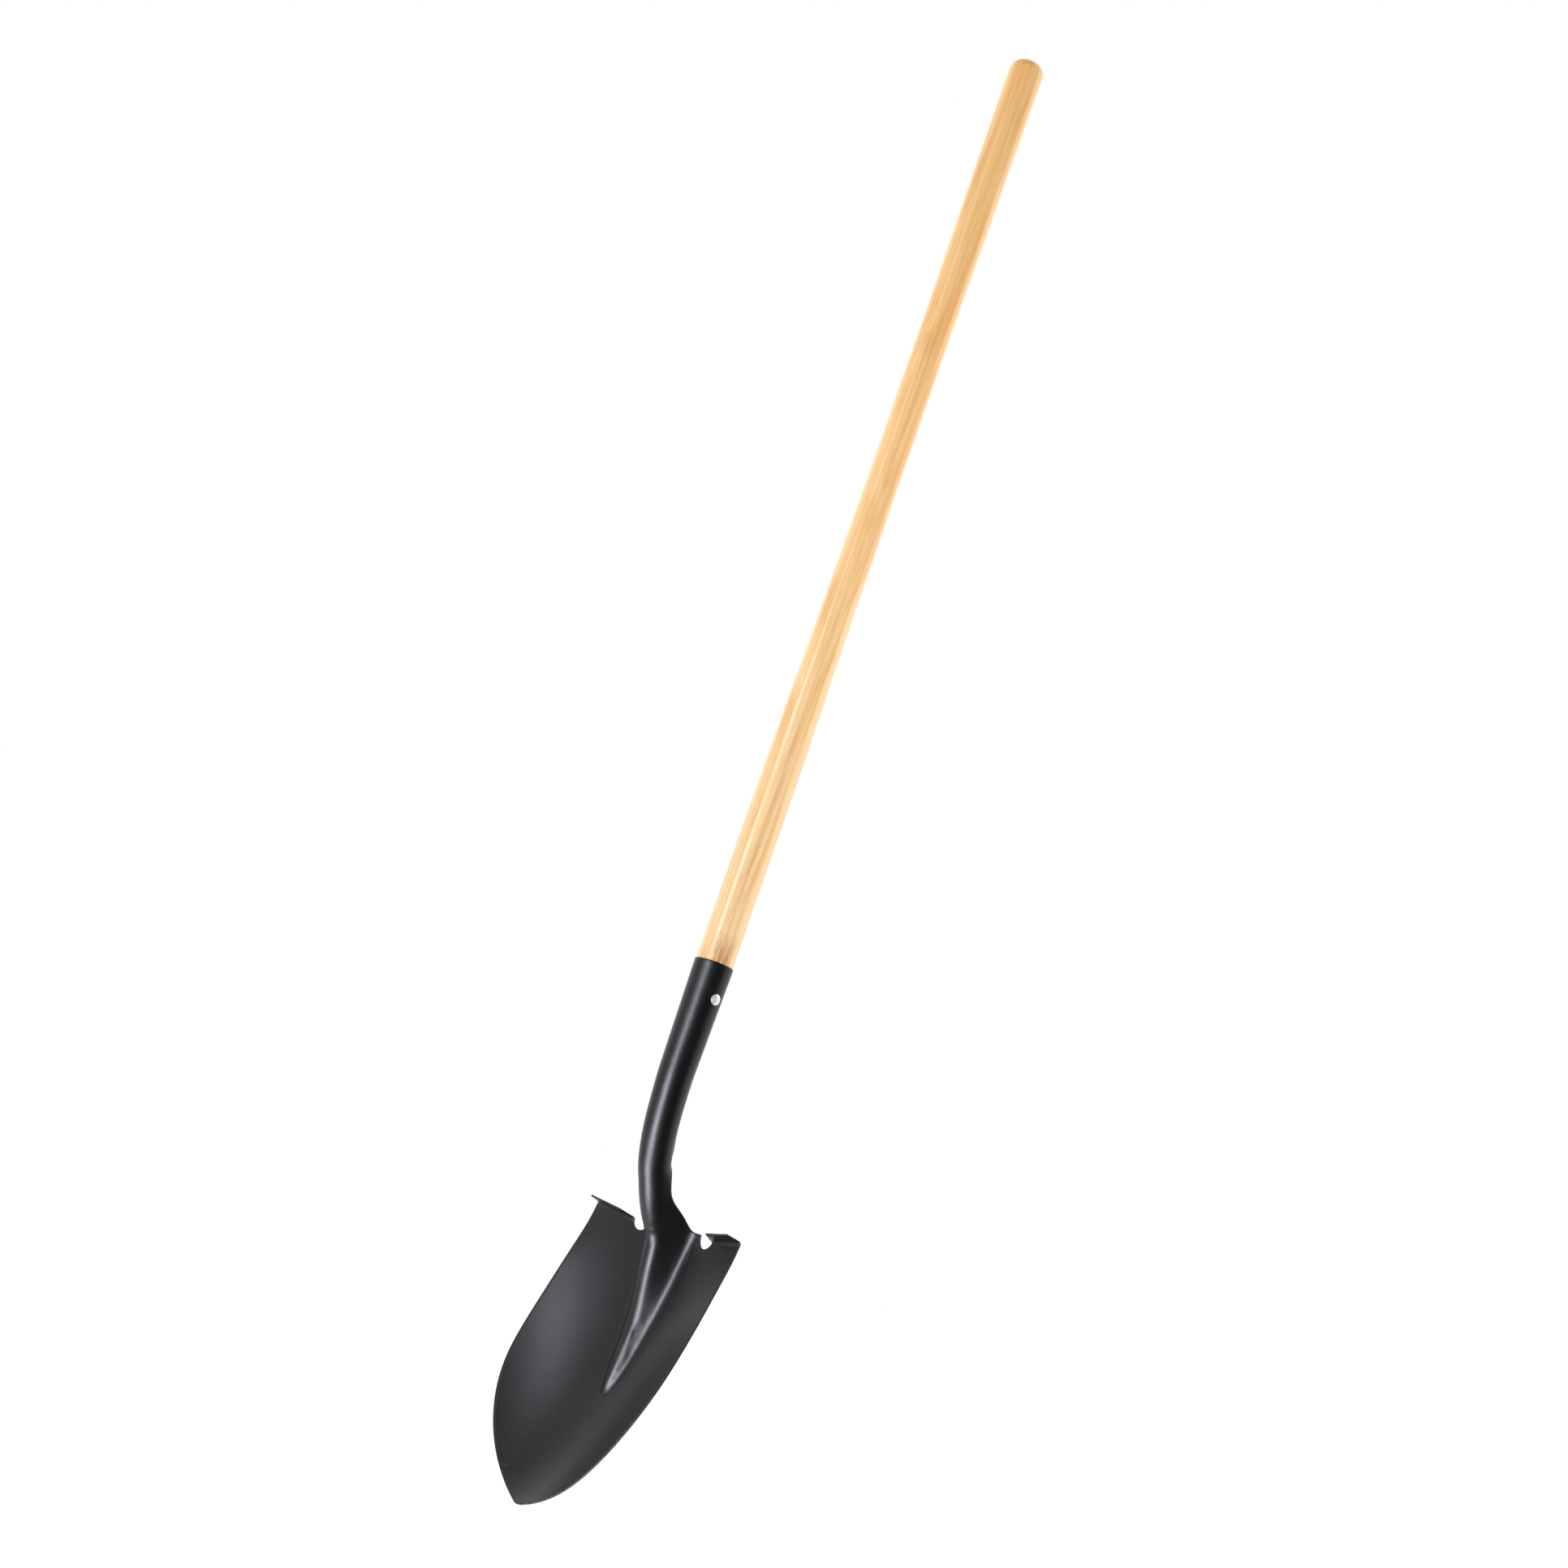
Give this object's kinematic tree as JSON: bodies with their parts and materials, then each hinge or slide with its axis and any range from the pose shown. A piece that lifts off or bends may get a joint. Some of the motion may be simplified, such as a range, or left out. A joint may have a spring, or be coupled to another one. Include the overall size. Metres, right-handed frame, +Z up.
{
  "type": "round-point digging shovel",
  "caption": "Long-handled round-point digging spade: a folded steel head with forward foot treads, riveted to a straight turned wooden handle.",
  "frame": {"origin": "on the handle's axis, at the rim of the steel socket", "axes": "+Z up along the handle, away from the blade; -Y is the front, the side the blade's hollow faces; +X is to the right seen from the front"},
  "size_m": [0.2218, 0.0885, 1.5767],
  "materials": {
    "painted_steel": "black satin paint",
    "varnished_wood": "clear gloss varnish",
    "rivet_steel": "bright zinc-plated steel"
  },
  "bodies": {
    "root": {"shovel_head": "painted_steel", "handle": "varnished_wood", "rivet": "rivet_steel", "rivet_burr": "rivet_steel"}
  },
  "joints": []
}
